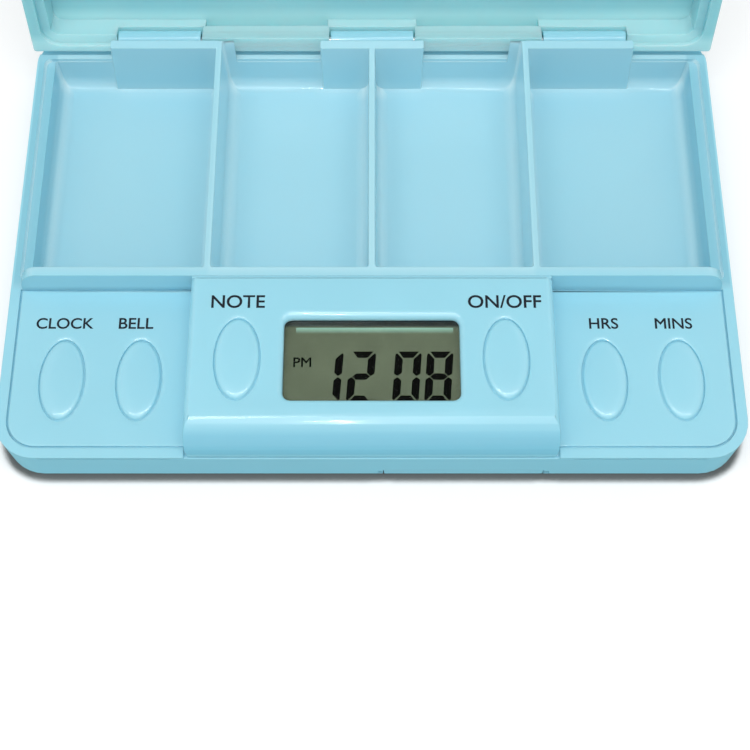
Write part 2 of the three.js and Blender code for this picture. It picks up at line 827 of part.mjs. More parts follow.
// Lid, drawn closed: an upturned tray with a notch that clears the console
function lidClosed() {
  const rings = [{ points: lidOutline(0), z: lidBottom }];
  for (let step = 0; step <= edgeSteps; step += 1) {
    const angle = (step / edgeSteps) * (Math.PI / 2);
    rings.push({
      points: lidOutline(lidTopRound * (1 - Math.cos(angle))),
      z: lidTop - lidTopRound * (1 - Math.sin(angle)),
    });
  }
  const hollow = loft([
    { points: caseOutline(lidRim), z: lidBottom - cutOver },
    { points: caseOutline(lidRim), z: lidBottom + lidStepRise },
    { points: caseOutline(lidRim + lidInnerStep), z: lidBottom + lidStepRise + seat },
    { points: caseOutline(lidRim + lidInnerStep), z: lidInside },
  ]);
  const form = loft(rings);
  const notchHalf = consoleWidth / 2 + lidNotchGap;
  const notchBack = front + bayDepth + lidNotchGap;
  const notchCorner = consoleCorner + lidNotchGap;
  const notch = (grow) => roundedRectangle(
    -notchHalf - grow, notchHalf + grow, front - bayDepth, notchBack + grow,
    notchCorner, notchCorner + grow, edgeSteps,
  );
  const collar = common(prism(notch(lidNotchWall), lidBottom, lidTop), form);
  let lid = join(cut(form, hollow), collar);
  lid = cut(lid, prism(notch(0), lidBottom - cutOver, lidTop + cutOver));

  // The notch's back wall and the inner step stay clear of the case's raised step and dividers
  const clearHalf = caseWidth / 2 - lidRim - lidInnerStep;
  const stepClear = caseWidth / 2 - lidRim;
  lid = cut(lid,
    box(-clearHalf, clearHalf, front + bayDepth - fit, trayBack, lidBottom - cutOver, stepTop + fit),
    box(-stepClear, stepClear, front + bayDepth - fit, trayFront + fit, lidBottom - cutOver, stepTop + fit));

  // Knuckles: a thick root and a barrel in each gap between the case's knuckles
  const gapLeft = caseKnuckleWidth / 2 + fit;
  const gapRight = caseKnuckleSpacing - caseKnuckleWidth / 2 - fit;
  for (const side of [-1, 1]) {
    const left = side > 0 ? gapLeft : -gapRight;
    const right = side > 0 ? gapRight : -gapLeft;
    const root = box(left, right, back - lidRim - lidInnerStep, back, lidBottom, lidTop - lidTopRound);
    const pocket = box(
      left + fit, right - fit, back - lidRim - lidInnerStep - cutOver,
      back - lidRim - lidInnerStep + lidPocketDepth, hingeZ + barrelRadius + fit, lidInside,
    );
    lid = join(cut(join(lid, root), pocket), rodAlongX(hingeY, hingeZ, barrelRadius, left, right));
  }
  for (const place of knucklePlaces(caseKnuckleSpacing, caseKnuckleWidth)) {
    const swing = barrelRadius + fit;
    lid = cut(lid, box(
      place.left - fit, place.right + fit, hingeY - swing, back + cutOver,
      lidBottom - cutOver, hingeZ + swing,
    ));
  }
  const pinHoleHalf = gapRight + cutOver;
  lid = cut(lid, rodAlongX(hingeY, hingeZ, pinHoleRadius, -pinHoleHalf, pinHoleHalf, smallSteps));

  // The heel is rounded so that it rolls clear of the case's back rim
  const heelY = back - lidHeelRound;
  const heelZ = lidBottom + lidHeelRound;
  const heel = [
    new THREE.Vector2(back + cutOver, lidBottom - cutOver),
    new THREE.Vector2(back + cutOver, heelZ),
    ...quarter(heelY, heelZ, lidHeelRound, lidHeelRound, -Math.PI / 2, edgeSteps).reverse(),
    new THREE.Vector2(heelY, lidBottom - cutOver),
  ];
  lid = cut(lid, alongX(heel, -caseWidth, caseWidth));

  // Catch beads inside the front rim of each wing
  for (const side of [-1, 1]) {
    const middle = side * catchSpacing;
    const bead = [
      new THREE.Vector2(front + lidRim - seat, lidBottom),
      new THREE.Vector2(front + lidRim, lidBottom),
      new THREE.Vector2(front + lidRim + catchHeight, lidBottom + catchHeight),
      new THREE.Vector2(front + lidRim - seat, lidBottom + lidStepRise),
    ];
    lid = join(lid, alongX(bead, middle - catchLength / 2, middle + catchLength / 2));
  }
  return lid;
}

function hingePin() {
  const end = caseKnuckleSpacing + caseKnuckleWidth / 2 - fit;
  return rodAlongX(hingeY, hingeZ, pinRadius, -end, end, smallSteps);
}

// Screw: a slotted head in the case's recess and a shank up into the panel's post
function caseScrew({ x, y }) {
  const headBottom = screwSink;
  const headTop = screwSink + screwHeadHeight - seat;
  const screw = join(
    disc(x, y, screwHeadRadius, headBottom, headTop),
    disc(x, y, screwRadius, headBottom, boardTop + screwBite),
  );
  return cut(screw, box(
    x - screwHeadRadius - cutOver, x + screwHeadRadius + cutOver,
    y - screwSlotWidth / 2, y + screwSlotWidth / 2, headBottom - cutOver, headBottom + screwSlotDepth,
  ));
}

// The whole box
const pillBox = new THREE.Group();
function add(name, solid, material, parent = pillBox) {
  const mesh = new THREE.Mesh(toGeometry(solid), material);
  mesh.name = name;
  parent.add(mesh);
  return mesh;
}

add('base_case', baseCase(), plastic(caseBlue));
add('control_panel', controlPanel(), plastic(caseBlue));
add('display_window', displayWindow(), clear(0xe8f4f2, 0.3));
add('lcd_glass', lcdGlass(), plastic(0x7b8070, 0.2));
add('lcd_frame', lcdFrame(), plastic(0xe6ebe8));
add('elastomer_connector', elastomerConnector(), plastic(0xd9c7cf, 0.8));
add('circuit_board', circuitBoard(), plastic(0x2f7a4a, 0.5));
add('clock_chip', clockChip(), plastic(0x1b1b1d, 0.6));
add('timing_crystal', timingCrystal(), metal(0xc9ccd0));
add('buzzer', buzzer(), plastic(0x222325, 0.5));
add('button_cell_left', buttonCell(-1), metal(0xd5d7d8, 0.25));
add('button_cell_right', buttonCell(1), metal(0xd5d7d8, 0.25));
add('cell_terminal_left', cellTerminal(-1), metal(0xd8cf9a));
add('cell_terminal_right', cellTerminal(1), metal(0xd8cf9a));
add('cell_bridge', cellBridge(), metal(0xd8cf9a));
add('battery_door', batteryDoor(), plastic(caseBlue));
add('hinge_pin', hingePin(), metal(0xbfc3c7));
for (const place of buttonPlaces()) {
  add(`${place.name}_button`, button(place), plastic(caseBlue));
  add(`${place.name}_switch`, tactSwitch(place), plastic(0x2a2b2e, 0.5));
}
screwPlaces().forEach((place, index) => add(`case_screw_${index + 1}`, caseScrew(place), metal(0xb8bcc0)));

// The lid turns about its pin, and is drawn leaning back on its stop
const lidPivot = new THREE.Group();
lidPivot.position.set(0, hingeY, hingeZ);
lidPivot.rotation.x = -lidOpenAngle;
const lidMesh = add('lid', lidClosed(), clear(lidBlue, 0.85), lidPivot);
lidMesh.position.set(0, -hingeY, -hingeZ);
pillBox.add(lidPivot);

export default pillBox;
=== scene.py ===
"""Electronic pill box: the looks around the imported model. Metres, +Z up, the front faces -Y."""
import json
import math

import bmesh
import bpy
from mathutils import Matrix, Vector


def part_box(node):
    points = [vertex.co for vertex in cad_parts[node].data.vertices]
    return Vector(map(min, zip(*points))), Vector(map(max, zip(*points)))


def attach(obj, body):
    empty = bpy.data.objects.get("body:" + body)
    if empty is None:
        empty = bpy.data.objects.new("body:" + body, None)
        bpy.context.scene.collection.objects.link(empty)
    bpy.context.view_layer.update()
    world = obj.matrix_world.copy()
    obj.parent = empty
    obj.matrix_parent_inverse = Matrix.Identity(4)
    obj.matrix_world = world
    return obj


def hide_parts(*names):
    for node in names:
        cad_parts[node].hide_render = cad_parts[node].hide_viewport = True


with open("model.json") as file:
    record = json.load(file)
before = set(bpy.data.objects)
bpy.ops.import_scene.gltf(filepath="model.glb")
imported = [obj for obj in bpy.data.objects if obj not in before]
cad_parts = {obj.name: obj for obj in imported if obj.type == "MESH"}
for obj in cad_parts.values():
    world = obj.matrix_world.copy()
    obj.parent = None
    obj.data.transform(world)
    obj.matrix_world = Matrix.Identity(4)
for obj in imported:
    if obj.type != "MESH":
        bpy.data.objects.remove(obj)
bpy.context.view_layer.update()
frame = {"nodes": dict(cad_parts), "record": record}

MM = 0.001


def srgb(red, green, blue):
    """A colour written as it looks on screen, as the linear values that the shaders take."""
    def linear(value):
        value /= 255.0
        return value / 12.92 if value <= 0.04045 else ((value + 0.055) / 1.055) ** 2.4
    return (linear(red), linear(green), linear(blue), 1.0)


# Colours of the plastics that show, and of the painted light and shade on them
CASE_BLUE = srgb(160, 221, 238)
# Painted light and shade on the case: the tray paler, its middle paler still, its rim sides darker, a
# painted highlight at the feet of walls, the nose darker
TRAY_PAINTED_LIGHT = srgb(172, 223, 237)
MIDDLE_PAINTED_LIGHT = srgb(181, 229, 242)
RIM_PAINTED_SHADE = srgb(140, 204, 222)
FOOT_PAINTED_HIGHLIGHT = srgb(224, 250, 255)
NOSE_PAINTED_SHADE = srgb(136, 205, 227)
LID_AQUA = srgb(156, 210, 217)
# Painted glow at the lid's root
LID_PAINTED_GLOW = srgb(186, 230, 234)
WINDOW_CLEAR = (0.97, 0.99, 0.98, 1.0)

# Colours of the display, of its painted reflection and painted shade, and of the words
DISPLAY_GREY = srgb(89, 98, 80)
# Painted reflection on the display's far edge
DISPLAY_REFLECTION = srgb(130, 168, 152)
DISPLAY_SHADE = srgb(46, 48, 44)
DIGIT_BLACK = srgb(6, 7, 6)
INK_BLACK = srgb(34, 38, 46)

# Colours of what lies inside
FRAME_WHITE = srgb(228, 232, 230)
RUBBER_PINK = srgb(216, 198, 206)
BOARD_GREEN = srgb(46, 116, 70)
COMPONENT_BLACK = srgb(38, 38, 42)
STEEL_GREY = srgb(200, 202, 204)
SPRING_GOLD = srgb(214, 200, 150)

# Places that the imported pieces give
CASE_LOW, CASE_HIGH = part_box("base_case")
PANEL_LOW, PANEL_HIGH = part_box("control_panel")
WINDOW_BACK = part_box("display_window")[1].y
GLASS_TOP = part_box("lcd_glass")[1].z
PIN_LOW, PIN_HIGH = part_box("hinge_pin")
PIN_HEIGHT = (PIN_LOW.z + PIN_HIGH.z) / 2.0
CASE_HALF = CASE_HIGH.x
CASE_HALF_DEPTH = -CASE_LOW.y
CONSOLE_TOP = PANEL_HIGH.z
WING_TOP = 8.2 * MM

# The painted reflection on the display's far edge, as far as the window shows it
REFLECTION_LEFT, REFLECTION_RIGHT = -11.7 * MM, 12.6 * MM
REFLECTION_FRONT, REFLECTION_BACK = WINDOW_BACK - 2.65 * MM, WINDOW_BACK - 1.65 * MM

# Where the painted light and shade change: the place where each change starts, and the place where it is
# complete
TRAY_FRONT = (PANEL_HIGH.y + 0.2 * MM, PANEL_HIGH.y + 1.6 * MM)
TRAY_FLOOR = (0.6 * MM, 1.0 * MM)
TRAY_SIDE = (CASE_HALF - 0.2 * MM, CASE_HALF - 0.4 * MM)
TRAY_BACK = (CASE_HALF_DEPTH - 2.8 * MM, CASE_HALF_DEPTH - 3.0 * MM)
RIM_SIDE = (CASE_HALF - 3.6 * MM, CASE_HALF - 3.2 * MM)
MIDDLE_SIDE = (25.8 * MM, 25.2 * MM)
NOSE_TOP = (CONSOLE_TOP - 0.1 * MM, CONSOLE_TOP - 1.3 * MM)
NOSE_FOOT = (WING_TOP + 0.5 * MM, WING_TOP + 0.8 * MM)
NOSE_FRONT = (PANEL_LOW.y + 6.3 * MM, PANEL_LOW.y + 4.3 * MM)
LID_ROOT_TOP = (PIN_HEIGHT + 2.75 * MM, PIN_HEIGHT + 1.15 * MM)
DISPLAY_END = (REFLECTION_BACK, REFLECTION_BACK + 0.35 * MM)
REFLECTION_FADE = (REFLECTION_FRONT, REFLECTION_BACK - 0.15 * MM)


# Materials

# The sockets of a node that mixes two colours
MIX_FIRST, MIX_SECOND, MIX_RESULT = 6, 7, 2

PLASTIC_IOR = 1.49
COAT_WEIGHT = 0.4
COAT_ROUGHNESS = 0.06
INNER_RADII = (0.6, 1.0, 1.0)
WINDOW_ROUGHNESS = 0.03
MOULD_GRAIN = {"scale": 900.0, "strength": 0.1, "depth": 0.04 * MM}
MOULD_TINT = {"spread": 0.02, "scale": 60.0}
PLAIN_GRAIN_SCALE = 1500.0
PLAIN_GRAIN_DEPTH = 0.03 * MM
PLAIN_TINT = {"spread": 0.05, "scale": 300.0}
GRAIN_DETAIL = 4.0
TINT_DETAIL = 2.0
TINT_LOW_SHARE, TINT_HIGH_SHARE = 0.3, 0.7
EDGE_RADIUS = 0.18 * MM
EDGE_SAMPLES = 6

# The painted highlight at the feet of walls: how far they are looked for, how open they are, and how much a
# facing counts
CORNER_REACH = 3.0 * MM
CORNER_SAMPLES = 8
OPEN_SHARE, CLOSED_SHARE = 0.95, 0.65
LEVEL_FACING, SIDEWAYS_FACING = 0.1, 0.5
LEVEL_SHARE, SIDEWAYS_SHARE = 0.2, 0.95


def new_material(name):
    material = bpy.data.materials.new(name)
    material.use_nodes = True
    tree = material.node_tree
    return material, tree, tree.nodes["Principled BSDF"]


def add_grain(tree, shader, scale, strength, depth):
    """A fine moulded texture as bump. It returns the coordinates that it uses."""
    coordinates = tree.nodes.new("ShaderNodeTexCoord")
    noise = tree.nodes.new("ShaderNodeTexNoise")
    noise.inputs["Scale"].default_value = scale
    noise.inputs["Detail"].default_value = GRAIN_DETAIL
    bump = tree.nodes.new("ShaderNodeBump")
    bump.inputs["Strength"].default_value = strength
    bump.inputs["Distance"].default_value = depth
    tree.links.new(coordinates.outputs["Object"], noise.inputs["Vector"])
    tree.links.new(noise.outputs["Fac"], bump.inputs["Height"])
    tree.links.new(bump.outputs["Normal"], shader.inputs["Normal"])
    return coordinates


def add_tint(tree, shader, coordinates, colour, spread, scale):
    """A slight drift of the colour over the surface."""
    noise = tree.nodes.new("ShaderNodeTexNoise")
    noise.inputs["Scale"].default_value = scale
    noise.inputs["Detail"].default_value = TINT_DETAIL
    ramp = tree.nodes.new("ShaderNodeValToRGB")
    low, high = ramp.color_ramp.elements
    low.position, high.position = TINT_LOW_SHARE, TINT_HIGH_SHARE
    low.color = tuple(channel * (1.0 - spread) for channel in colour[:3]) + (1.0,)
    high.color = tuple(min(1.0, channel * (1.0 + spread)) for channel in colour[:3]) + (1.0,)
    tree.links.new(coordinates.outputs["Object"], noise.inputs["Vector"])
    tree.links.new(noise.outputs["Fac"], ramp.inputs["Fac"])
    tree.links.new(ramp.outputs["Color"], shader.inputs["Base Color"])


def product(tree, first, *others):
    """Shares multiplied with each other."""
    result = first
    for other in others:
        times = tree.nodes.new("ShaderNodeMath")
        times.operation = "MULTIPLY"
        tree.links.new(result, times.inputs[0])
        tree.links.new(other, times.inputs[1])
        result = times.outputs["Value"]
    return result


def share_along(tree, coordinates, axis, places, both_sides=False):
    """A share that goes from 0 to 1 between two places on an axis, or on both sides of the middle."""
    point = tree.nodes.new("ShaderNodeSeparateXYZ")
    distance = tree.nodes.new("ShaderNodeMath")
    distance.operation = "ABSOLUTE" if both_sides else "ADD"
    distance.inputs[1].default_value = 0.0
    share = tree.nodes.new("ShaderNodeMapRange")
    share.inputs["From Min"].default_value = places[0]
    share.inputs["From Max"].default_value = places[1]
    tree.links.new(coordinates.outputs["Object"], point.inputs["Vector"])
    tree.links.new(point.outputs[axis], distance.inputs[0])
    tree.links.new(distance.outputs["Value"], share.inputs["Value"])
    return share.outputs["Result"]


def corner_highlight_share(tree, coordinates):
    """Where the painted highlight goes: a share that is highest where surfaces stand on each other, more on
    those that face sideways.
    """
    openness = tree.nodes.new("ShaderNodeAmbientOcclusion")
    openness.samples = CORNER_SAMPLES
    openness.inputs["Distance"].default_value = CORNER_REACH
    closed = tree.nodes.new("ShaderNodeMapRange")
    closed.inputs["From Min"].default_value = OPEN_SHARE
    closed.inputs["From Max"].default_value = CLOSED_SHARE
    facing = tree.nodes.new("ShaderNodeSeparateXYZ")
    size = tree.nodes.new("ShaderNodeMath")
    size.operation = "ABSOLUTE"
    sideways = tree.nodes.new("ShaderNodeMapRange")
    sideways.inputs["From Min"].default_value = LEVEL_FACING
    sideways.inputs["From Max"].default_value = SIDEWAYS_FACING
    sideways.inputs["To Min"].default_value = LEVEL_SHARE
    sideways.inputs["To Max"].default_value = SIDEWAYS_SHARE
    tree.links.new(openness.outputs["AO"], closed.inputs["Value"])
    tree.links.new(coordinates.outputs["Normal"], facing.inputs["Vector"])
    tree.links.new(facing.outputs["X"], size.inputs[0])
    tree.links.new(size.outputs["Value"], sideways.inputs["Value"])
    return product(tree, closed.outputs["Result"], sideways.outputs["Result"])


def blend_colour(tree, shader, colour, *shares):
    """Puts a colour over the shader's own where the shares are high."""
    mix = tree.nodes.new("ShaderNodeMix")
    mix.data_type = "RGBA"
    tree.links.new(product(tree, *shares), mix.inputs["Factor"])
    tree.links.new(shader.inputs["Base Color"].links[0].from_socket, mix.inputs[MIX_FIRST])
    mix.inputs[MIX_SECOND].default_value = colour
    tree.links.new(mix.outputs[MIX_RESULT], shader.inputs["Base Color"])


def paint_case_light_and_shade(tree, shader, coordinates):
    """Painted light and shade on the case: the tray is painted paler, more so in the middle compartments,
    with a painted highlight at the feet of its walls; its rim sides and the nose are painted darker as
    painted shade.
    """
    def along(axis, places, both_sides=False):
        return share_along(tree, coordinates, axis, places, both_sides)

    tray = product(
        tree, along("Y", TRAY_FRONT), along("Z", TRAY_FLOOR),
        along("X", TRAY_SIDE, both_sides=True), along("Y", TRAY_BACK, both_sides=True))
    # Painted light: the tray is painted paler than the rest of the case.
    blend_colour(tree, shader, TRAY_PAINTED_LIGHT, tray)
    # Painted light: the middle compartments are painted paler still.
    blend_colour(tree, shader, MIDDLE_PAINTED_LIGHT, tray, along("X", MIDDLE_SIDE, both_sides=True))
    # Painted shade: the tray's rim at the sides is painted darker.
    blend_colour(tree, shader, RIM_PAINTED_SHADE, tray, along("X", RIM_SIDE, both_sides=True))
    # Painted highlight at the feet of the tray's walls.
    blend_colour(tree, shader, FOOT_PAINTED_HIGHLIGHT, tray, corner_highlight_share(tree, coordinates))
    # Painted shade: the nose is painted darker.
    nose = (along("Z", NOSE_TOP), along("Z", NOSE_FOOT), along("Y", NOSE_FRONT))
    blend_colour(tree, shader, NOSE_PAINTED_SHADE, *nose)


def paint_lid(tree, shader, coordinates):
    """The root of the lid at the hinge is painted paler than its thin walls, a painted glow for the light
    that its thickness scatters.
    """
    # Painted glow at the lid's root.
    blend_colour(tree, shader, LID_PAINTED_GLOW, share_along(tree, coordinates, "Z", LID_ROOT_TOP))


def paint_display(tree, shader, coordinates):
    """The far end of the display lies in the shade of its window."""
    blend_colour(tree, shader, DISPLAY_SHADE, share_along(tree, coordinates, "Y", DISPLAY_END))


def paint_reflection_fade(tree, shader, coordinates):
    """The painted reflection on the display's far edge fades towards the front."""
    blend_colour(tree, shader, DISPLAY_REFLECTION, share_along(tree, coordinates, "Y", REFLECTION_FADE))


def pass_shadow(tree, shader, share):
    """Shadow rays lose only part of their light in the piece, as in a translucent or clear one."""
    through = tree.nodes.new("ShaderNodeBsdfTransparent")
    path = tree.nodes.new("ShaderNodeLightPath")
    part = tree.nodes.new("ShaderNodeMath")
    part.operation = "MULTIPLY"
    part.inputs[1].default_value = share
    mix = tree.nodes.new("ShaderNodeMixShader")
    tree.links.new(path.outputs["Is Shadow Ray"], part.inputs[0])
    tree.links.new(part.outputs["Value"], mix.inputs["Fac"])
    tree.links.new(shader.outputs["BSDF"], mix.inputs[1])
    tree.links.new(through.outputs["BSDF"], mix.inputs[2])
    tree.links.new(mix.outputs["Shader"], tree.nodes["Material Output"].inputs["Surface"])


def soften_edges(tree):
    """Moulded edges catch the light over a small radius."""
    rounding = tree.nodes.new("ShaderNodeBevel")
    rounding.samples = EDGE_SAMPLES
    rounding.inputs["Radius"].default_value = EDGE_RADIUS
    bump = next(node for node in tree.nodes if node.type == "BUMP")
    tree.links.new(rounding.outputs["Normal"], bump.inputs["Normal"])


def moulded_plastic(name, colour, roughness=0.3, inner=0.15, depth=1.2 * MM, paint=None, clear=0.0):
    """A glossy plastic that scatters light inside, over the depth that is given."""
    material, tree, shader = new_material(name)
    coordinates = add_grain(tree, shader, **MOULD_GRAIN)
    add_tint(tree, shader, coordinates, colour, **MOULD_TINT)
    if paint:
        paint(tree, shader, coordinates)
    soften_edges(tree)
    shader.inputs["Roughness"].default_value = roughness
    shader.inputs["IOR"].default_value = PLASTIC_IOR
    shader.inputs["Coat Weight"].default_value = COAT_WEIGHT
    shader.inputs["Coat Roughness"].default_value = COAT_ROUGHNESS
    shader.inputs["Subsurface Weight"].default_value = inner
    shader.inputs["Subsurface Radius"].default_value = INNER_RADII
    shader.inputs["Subsurface Scale"].default_value = depth
    if clear:
        pass_shadow(tree, shader, clear)
    return material


def plain(name, colour, roughness, metallic=0.0, grain=0.1, shine=0.5, paint=None):
    """A finish with a fine grain and no depth, for ink, metals and what lies inside."""
    material, tree, shader = new_material(name)
    coordinates = add_grain(tree, shader, PLAIN_GRAIN_SCALE, grain, PLAIN_GRAIN_DEPTH)
    add_tint(tree, shader, coordinates, colour, **PLAIN_TINT)
    if paint:
        paint(tree, shader, coordinates)
    shader.inputs["Roughness"].default_value = roughness
    shader.inputs["Metallic"].default_value = metallic
    shader.inputs["Specular IOR Level"].default_value = shine
    return material


def clear_plastic(name):
    """A clear window: it lets light straight through and mirrors what stands over it."""
    material, tree, shader = new_material(name)
    shader.inputs["Base Color"].default_value = WINDOW_CLEAR
    shader.inputs["Roughness"].default_value = WINDOW_ROUGHNESS
    shader.inputs["IOR"].default_value = PLASTIC_IOR
    shader.inputs["Transmission Weight"].default_value = 1.0
    pass_shadow(tree, shader, 1.0)
    return material


LOOKS = {
    "case_plastic": moulded_plastic("case_plastic", CASE_BLUE, paint=paint_case_light_and_shade),
    "button_plastic": moulded_plastic("button_plastic", CASE_BLUE),
    "lid_plastic": moulded_plastic(
        "lid_plastic", LID_AQUA, roughness=0.22, inner=0.8, depth=3.0 * MM, paint=paint_lid, clear=0.5),
    "window_plastic": clear_plastic("window_plastic"),
    "display_glass": plain("display_glass", DISPLAY_GREY, roughness=0.12, grain=0.02, paint=paint_display),
    "frame_plastic": plain("frame_plastic", FRAME_WHITE, roughness=0.5),
    "connector_rubber": plain("connector_rubber", RUBBER_PINK, roughness=0.8),
    "board_laminate": plain("board_laminate", BOARD_GREEN, roughness=0.35),
    "dark_component": plain("dark_component", COMPONENT_BLACK, roughness=0.45),
    "steel": plain("steel", STEEL_GREY, roughness=0.28, metallic=1.0),
    "spring_metal": plain("spring_metal", SPRING_GOLD, roughness=0.3, metallic=1.0),
}
INK = plain("ink", INK_BLACK, roughness=0.6, shine=0.1)
DIGIT = plain("digit", DIGIT_BLACK, roughness=0.6, shine=0.0)
# Painted reflection on the display's far edge
REFLECTION_LOOK = plain("painted_reflection", DISPLAY_GREY, roughness=0.2, paint=paint_reflection_fade)

SLOTS = {part["node"]: part["material_slot"] for part in frame["record"]["subparts"]}
for name, node in frame["nodes"].items():
    node.data.materials.clear()
    node.data.materials.append(LOOKS[SLOTS[name]])


# Pieces

def add_piece(name, mesh, body, slot, material=None):
    piece = bpy.data.objects.new(name, mesh)
    bpy.context.scene.collection.objects.link(piece)
    mesh.materials.clear()
    mesh.materials.append(material or LOOKS[slot])
    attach(piece, body)
    return piece


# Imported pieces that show: the node, the name and body of its own form, and the width of rounded edges
OWN_FORMS = (
    ("base_case", "tray_case", "case", 0.0),
    ("control_panel", "console_panel", "case", 0.15 * MM),
    ("lid", "clear_lid", "lid", 0.0),
    ("battery_door", "cell_door", "battery_door", 0.15 * MM),
    ("display_window", "window_plate", "case", 0.12 * MM),
)
SHARP = math.radians(28.0)
MERGE_DISTANCE = 0.002 * MM
BEVEL_STEPS = 3
NORMAL_WEIGHT = 60


def own_form(node, name, body, edge_width):
    """The node's own form, smooth where it curves, with its edges rounded where a width is given."""
    form = bmesh.new()
    form.from_mesh(frame["nodes"][node].data)
    bmesh.ops.remove_doubles(form, verts=form.verts, dist=MERGE_DISTANCE)
    weights = form.edges.layers.float.new("bevel_weight_edge")
    for edge in form.edges:
        if len(edge.link_faces) == 2 and edge.calc_face_angle() > SHARP:
            edge[weights] = 1.0
            edge.smooth = edge_width > 0.0
    for face in form.faces:
        face.smooth = True
    mesh = bpy.data.meshes.new(name)
    form.to_mesh(mesh)
    form.free()
    piece = add_piece(name, mesh, body, SLOTS[node])
    if edge_width:
        bevel = piece.modifiers.new("bevel", "BEVEL")
        bevel.limit_method = "WEIGHT"
        bevel.width = edge_width
        bevel.segments = BEVEL_STEPS
        bevel.use_clamp_overlap = False
    normals = piece.modifiers.new("normals", "WEIGHTED_NORMAL")
    normals.keep_sharp = True
    normals.weight = NORMAL_WEIGHT
    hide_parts(node)


OVAL_SIDES = 72


def oval(centre, half_width, half_length, height):
    """One ring of points of a loft."""
    turns = [2.0 * math.pi * side / OVAL_SIDES for side in range(OVAL_SIDES)]
    return [
        Vector((centre.x + half_width * math.cos(turn), centre.y + half_length * math.sin(turn), height))
        for turn in turns
    ]


def loft(name, rings):
    """A closed mesh through rings of points, from the lowest to the highest."""
    form = bmesh.new()
    rows = [[form.verts.new(point) for point in ring] for ring in rings]
    for lower, upper in zip(rows, rows[1:]):
        for side in range(len(lower)):
            after = (side + 1) % len(lower)
            form.faces.new((lower[side], lower[after], upper[after], upper[side]))
    form.faces.new(reversed(rows[0]))
    form.faces.new(rows[-1])
    mesh = bpy.data.meshes.new(name)
    form.to_mesh(mesh)
    form.free()
    mesh.shade_smooth()
    return mesh


# Buttons: a crowned oval cap that nearly fills its hole, on the flange and stem that the panel holds
DOME_HEIGHT = 0.57 * MM
DOME_RINGS = 9
DOME_POWER = 2.6
SHOULDER_GROW = 0.24 * MM
SHOULDER_DROP = 0.2 * MM
FLANGE_MARGIN = 0.6 * MM
FLANGE_THICKNESS = 0.6 * MM
CAP_ABOVE_FLANGE = 1.2 * MM
STEM_RADIUS = 1.5 * MM
BUTTON_EDGE = 0.08 * MM


def make_button(node):
    low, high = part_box(node)
    centre = (low + high) / 2.0
    corners = [vertex.co for vertex in frame["nodes"][node].data.vertices]
    foot = [corner for corner in corners if corner.z < low.z + BUTTON_EDGE]
    stem = Vector((centre.x, sum(corner.y for corner in foot) / len(foot), 0.0))
    flange_width, flange_length = (high.x - low.x) / 2.0, (high.y - low.y) / 2.0
    width, length = flange_width - FLANGE_MARGIN, flange_length - FLANGE_MARGIN
    wide, long = width + SHOULDER_GROW, length + SHOULDER_GROW
    base = high.z - DOME_HEIGHT
    shoulder = base - SHOULDER_DROP
    flange_top = base - CAP_ABOVE_FLANGE
    flange_foot = flange_top - FLANGE_THICKNESS
    rings = [
        oval(stem, STEM_RADIUS - BUTTON_EDGE, STEM_RADIUS - BUTTON_EDGE, low.z),
        oval(stem, STEM_RADIUS, STEM_RADIUS, low.z + BUTTON_EDGE),
        oval(stem, STEM_RADIUS, STEM_RADIUS, flange_foot - BUTTON_EDGE),
        oval(centre, flange_width - BUTTON_EDGE, flange_length - BUTTON_EDGE, flange_foot),
        oval(centre, flange_width, flange_length, flange_foot + BUTTON_EDGE),
        oval(centre, flange_width, flange_length, flange_top - BUTTON_EDGE),
        oval(centre, flange_width - BUTTON_EDGE, flange_length - BUTTON_EDGE, flange_top),
        oval(centre, wide, long, flange_top + BUTTON_EDGE),
        oval(centre, wide, long, shoulder - BUTTON_EDGE),
        oval(centre, wide - BUTTON_EDGE, long - BUTTON_EDGE, shoulder),
        oval(centre, width + BUTTON_EDGE, length + BUTTON_EDGE, shoulder),
        oval(centre, width, length, shoulder + BUTTON_EDGE),
    ]
    for ring in range(DOME_RINGS):
        share = math.cos(math.pi / 2.0 * ring / DOME_RINGS)
        rise = (1.0 - share ** DOME_POWER) ** (1.0 / DOME_POWER)
        rings.append(oval(centre, width * share, length * share, base + DOME_HEIGHT * rise))
    piece = add_piece(node.replace("button", "cap"), loft(node, rings), node, SLOTS[node])
    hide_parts(node)


# Words behind the buttons: each with its button, and how far its middle lies to the right of the button's
LABELS = {
    "label_clock": ("CLOCK", "clock_button", -0.3172 * MM),
    "label_bell": ("BELL", "alarm_button", -1.0088 * MM),
    "label_note": ("NOTE", "memo_button", -0.143 * MM),
    "label_on_off": ("ON/OFF", "on_off_button", 0.043 * MM),
    "label_hours": ("HRS", "hours_button", 0.4088 * MM),
    "label_minutes": ("MINS", "minutes_button", -0.4828 * MM),
}
WING_LETTERS = 1.87 * MM
WING_LETTER_GAP = 1.5 * MM
CONSOLE_LETTERS = 2.2 * MM
CONSOLE_LETTER_GAP = 1.33 * MM
INK_HEIGHT = 0.012 * MM

# The letters' strokes: half their depth as a share of the ink's height, and what widens them and how far
# corners are merged, as shares of the letters' size
HALF_DEPTH_SHARE = 0.5
LETTER_WEIGHT_SHARE = 0.014
LETTER_MERGE_SHARE = LETTER_WEIGHT_SHARE / 20.0
LETTER_STRETCH = 1.04
MITRE_LEAST = 0.35
WALL_STEEPNESS = 0.5


def widen_strokes(mesh):
    """Moves each corner of the letters out, by the same distance from both sides that meet there."""
    form = bmesh.new()
    form.from_mesh(mesh)
    bmesh.ops.remove_doubles(form, verts=form.verts, dist=LETTER_MERGE_SHARE)
    moves = []
    for corner in form.verts:
        sides = [face.normal for face in corner.link_faces if abs(face.normal.z) < WALL_STEEPNESS]
        if not sides:
            continue
        far = min(sides, key=sides[0].dot)
        mitre = max(MITRE_LEAST, 1.0 + sides[0].dot(far))
        moves.append((corner, (sides[0] + far) * LETTER_WEIGHT_SHARE / mitre))
    for corner, move in moves:
        corner.co += move
    form.to_mesh(mesh)
    form.free()


